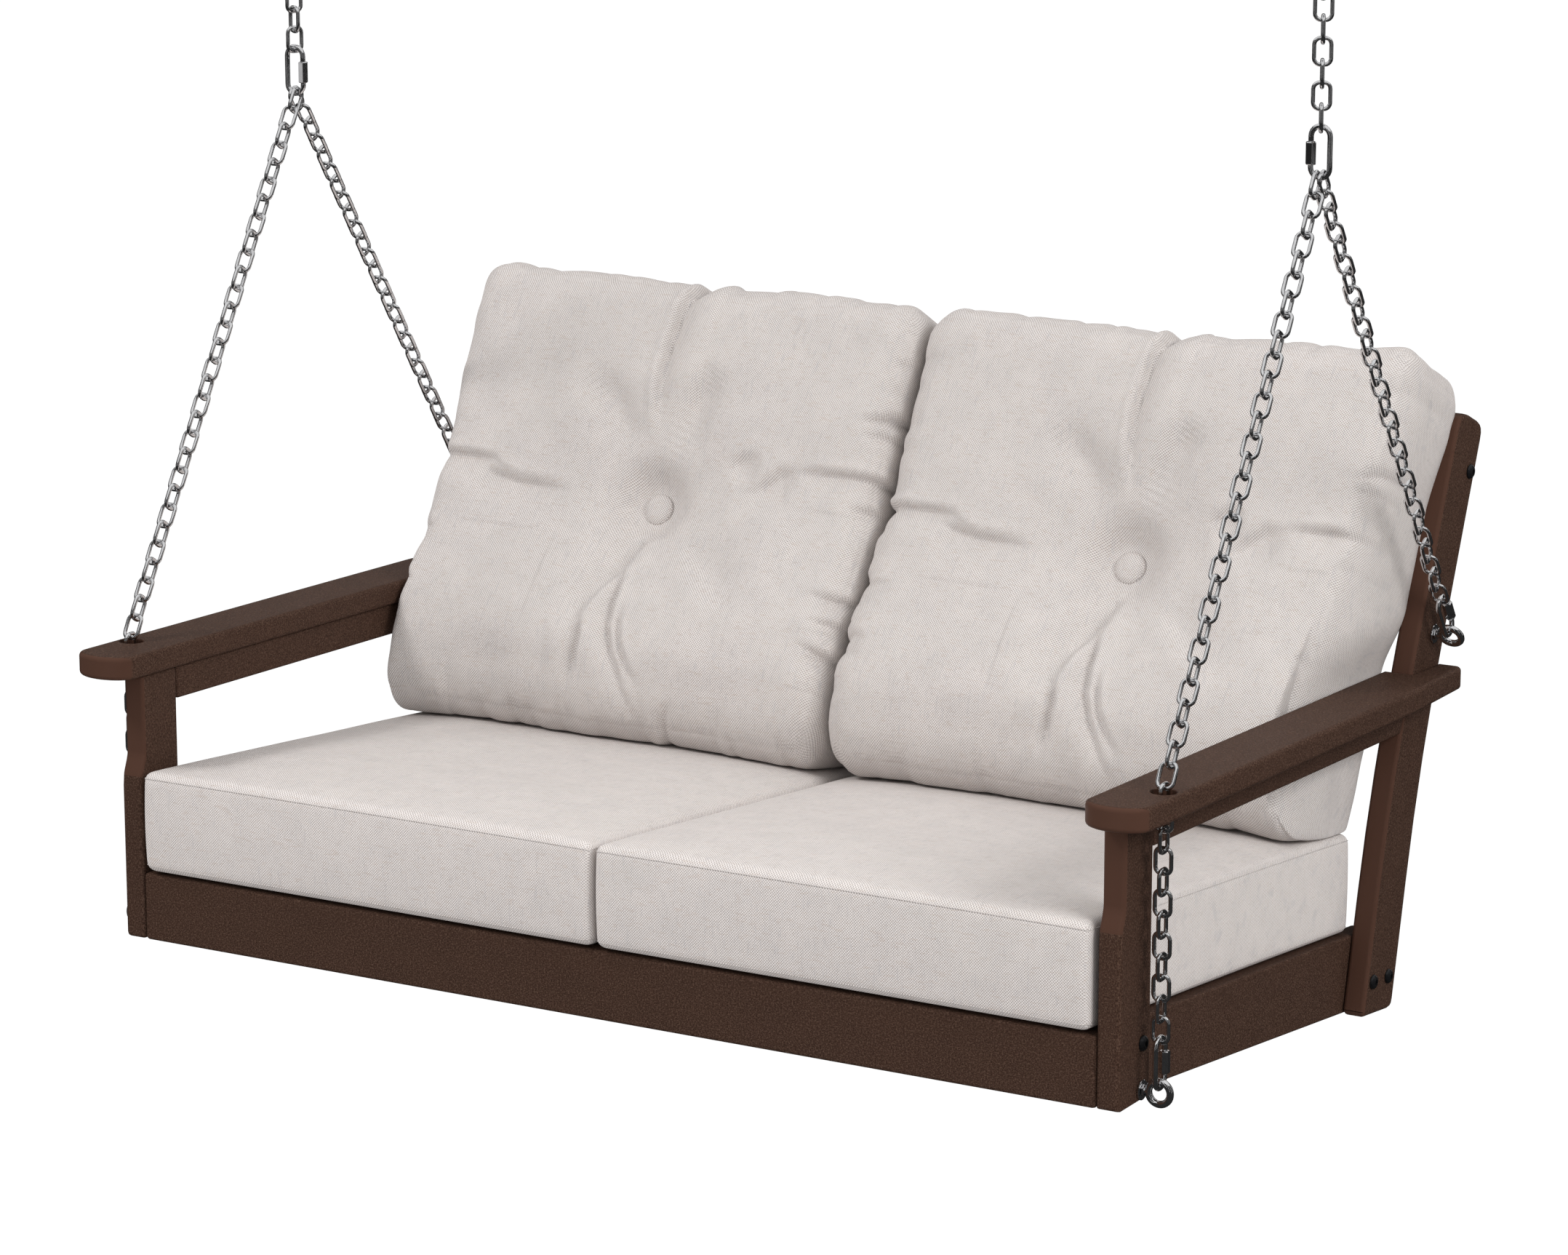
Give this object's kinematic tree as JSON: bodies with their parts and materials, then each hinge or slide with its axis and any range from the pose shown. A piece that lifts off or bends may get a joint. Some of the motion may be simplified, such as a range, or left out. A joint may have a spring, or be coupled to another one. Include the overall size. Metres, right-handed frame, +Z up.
{
  "type": "porch swing",
  "caption": "Porch swing with plastic lumber arms, legs and aprons, seat and tufted back cushions, hung by chains that branch at quick links above each arm.",
  "frame": {"origin": "on the ceiling plane, midway between the two ceiling fittings that the chains hang from", "axes": "+X to the right seen from in front, -Y the front that a sitter faces, +Z up"},
  "size_m": [1.3796, 0.9545, 1.2478],
  "materials": {
    "lumber": "dark mahogany-brown solid plastic lumber, softly rounded edges, fine mottled grain",
    "cushion_fabric": "pale greige basket weave with beige and grey flecks",
    "black_bolts": "black coated button-head hex-socket bolts",
    "stiffener": "black coated flat steel",
    "chain": "bright polished steel links",
    "bright_fittings": "bright polished steel"
  },
  "bodies": {
    "ceiling": {"left_ceiling_hook": "bright_fittings", "right_ceiling_hook": "bright_fittings"},
    "top_links": {"left_top_link": "chain", "right_top_link": "chain"},
    "left_upper_chain": {"left_upper_chain": "chain"},
    "left_upper_link": {"left_upper_quick_link": "bright_fittings"},
    "right_upper_chain": {"right_upper_chain": "chain"},
    "right_upper_link": {"right_upper_quick_link": "bright_fittings"},
    "left_upper_sleeve": {"left_upper_quick_link_sleeve": "bright_fittings"},
    "left_front_sleeve": {"left_front_quick_link_sleeve": "bright_fittings"},
    "left_rear_sleeve": {"left_rear_quick_link_sleeve": "bright_fittings"},
    "right_upper_sleeve": {"right_upper_quick_link_sleeve": "bright_fittings"},
    "right_front_sleeve": {"right_front_quick_link_sleeve": "bright_fittings"},
    "right_rear_sleeve": {"right_rear_quick_link_sleeve": "bright_fittings"},
    "seat": {"left_front_post": "lumber", "right_front_post": "lumber", "left_back_leg": "lumber", "right_back_leg": "lumber", "left_arm_rail": "lumber", "right_arm_rail": "lumber", "left_arm": "lumber", "right_arm": "lumber", "left_side_apron": "lumber", "right_side_apron": "lumber", "front_apron": "lumber", "rear_apron": "lumber", "back_top_rail": "lumber", "centre_joist": "lumber", "seat_slat_1": "lumber", "seat_slat_2": "lumber", "seat_slat_3": "lumber", "seat_slat_4": "lumber", "seat_slat_5": "lumber", "back_slat_1": "lumber", "back_slat_2": "lumber", "back_slat_3": "lumber", "back_slat_4": "lumber", "left_seat_cushion": "cushion_fabric", "right_seat_cushion": "cushion_fabric", "left_back_cushion": "cushion_fabric", "right_back_cushion": "cushion_fabric", "left_cushion_button": "cushion_fabric", "right_cushion_button": "cushion_fabric", "left_leg_top_bolt": "black_bolts", "right_leg_top_bolt": "black_bolts", "left_post_bolt": "black_bolts", "right_post_bolt": "black_bolts", "front_stiffener": "stiffener", "left_front_chain": "chain", "right_front_chain": "chain", "left_rear_chain": "chain", "right_rear_chain": "chain", "left_front_eye_bolt": "bright_fittings", "right_front_eye_bolt": "bright_fittings", "left_rear_eye_bolt": "bright_fittings", "right_rear_eye_bolt": "bright_fittings", "left_front_quick_link": "bright_fittings", "right_front_quick_link": "bright_fittings", "left_rear_quick_link": "bright_fittings", "right_rear_quick_link": "bright_fittings"}
  },
  "joints": [
    {"name": "swing", "type": "hinge", "parent": "ceiling", "child": "top_links", "pos_m": [0, 0, -0.039], "axis": [1, 0, 0], "range_deg": [-25, 25]},
    {"name": "sway", "type": "hinge", "parent": "top_links", "child": "left_upper_chain", "pos_m": [-0.6578, 0, -0.0579], "axis": [0, 1, 0], "range_deg": [-5, 5]},
    {"name": "right_sway", "type": "hinge", "parent": "top_links", "child": "right_upper_chain", "pos_m": [0.6578, 0, -0.0579], "axis": [0, 1, 0], "range_deg": [-5, 5]},
    {"name": "left_link_level", "type": "hinge", "parent": "left_upper_chain", "child": "left_upper_link", "pos_m": [-0.6578, 0, -0.1974], "axis": [0, 1, 0], "range_deg": [-5, 5]},
    {"name": "right_link_level", "type": "hinge", "parent": "right_upper_chain", "child": "right_upper_link", "pos_m": [0.6578, 0, -0.1974], "axis": [0, 1, 0], "range_deg": [-5, 5]},
    {"name": "seat_pitch", "type": "hinge", "parent": "left_upper_link", "child": "seat", "pos_m": [0, 0, -0.2494], "axis": [1, 0, 0], "range_deg": [-12, 12]},
    {"name": "left_upper_sleeve_slide", "type": "slide", "parent": "left_upper_link", "child": "left_upper_sleeve", "axis": [0, 0, 1], "range_m": [0, 0.008]},
    {"name": "left_front_sleeve_slide", "type": "slide", "parent": "seat", "child": "left_front_sleeve", "axis": [0, 0, 1], "range_m": [0, 0.008]},
    {"name": "left_rear_sleeve_slide", "type": "slide", "parent": "seat", "child": "left_rear_sleeve", "axis": [0, -0.5593, 0.8289], "range_m": [0, 0.008]},
    {"name": "right_upper_sleeve_slide", "type": "slide", "parent": "right_upper_link", "child": "right_upper_sleeve", "axis": [0, 0, 1], "range_m": [0, 0.008]},
    {"name": "right_front_sleeve_slide", "type": "slide", "parent": "seat", "child": "right_front_sleeve", "axis": [0, 0, 1], "range_m": [0, 0.008]},
    {"name": "right_rear_sleeve_slide", "type": "slide", "parent": "seat", "child": "right_rear_sleeve", "axis": [0, -0.5593, 0.8289], "range_m": [0, 0.008]}
  ],
  "couplings": [
    {"joint": "right_sway", "follows": "sway", "ratio": 1},
    {"joint": "left_link_level", "follows": "sway", "ratio": -1},
    {"joint": "right_link_level", "follows": "sway", "ratio": -1}
  ]
}
